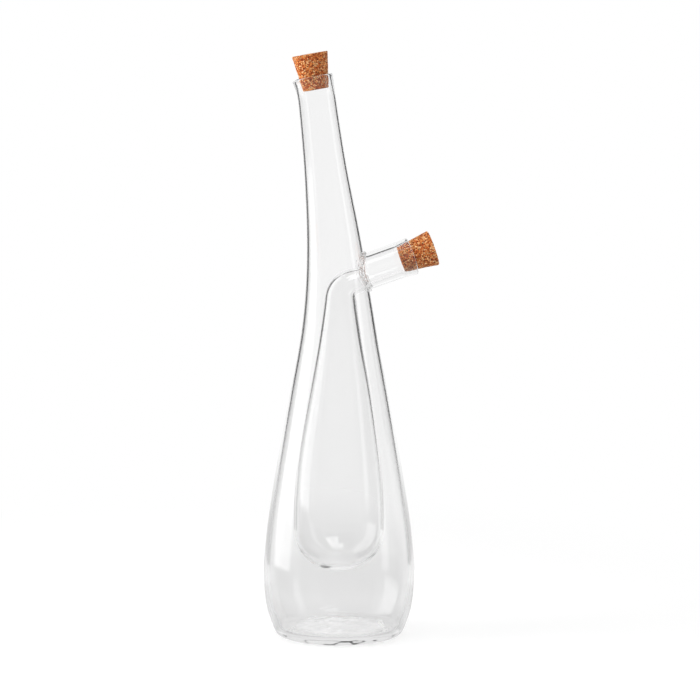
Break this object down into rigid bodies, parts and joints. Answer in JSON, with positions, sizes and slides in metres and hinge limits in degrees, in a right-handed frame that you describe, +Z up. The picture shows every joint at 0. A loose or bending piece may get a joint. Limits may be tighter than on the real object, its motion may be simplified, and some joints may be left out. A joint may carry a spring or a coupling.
{
  "type": "oil and vinegar drizzler",
  "caption": "Leaning clear glass bottle with a flask fused inside it that pours through a side spout, and a tapered cork that pulls out of each mouth.",
  "frame": {"origin": "middle of the flat underside, on the surface that the bottle stands on", "axes": "+Z up, along the bottle's longest extent; +X towards the side spout; the neck leans towards -X; the part is symmetric about the XZ plane"},
  "size_m": [0.0842, 0.0724, 0.2808],
  "materials": {
    "borosilicate_glass": "clear, fire polished",
    "agglomerated_cork": "ground granules pressed with a binder, turned, matte"
  },
  "bodies": {
    "bottle": {"outer_bottle": "borosilicate_glass", "inner_flask": "borosilicate_glass", "side_spout": "borosilicate_glass", "spout_bead": "borosilicate_glass"},
    "neck_stopper": {"neck_cork": "agglomerated_cork"},
    "spout_stopper": {"spout_cork": "agglomerated_cork"}
  },
  "joints": [
    {"name": "neck_cork_pull", "type": "slide", "parent": "bottle", "child": "neck_stopper", "axis": [-0.1754, 0, 0.9845], "range_m": [0, 0.03]},
    {"name": "spout_cork_pull", "type": "slide", "parent": "bottle", "child": "spout_stopper", "axis": [0.9444, 0, 0.3289], "range_m": [0, 0.03]}
  ]
}
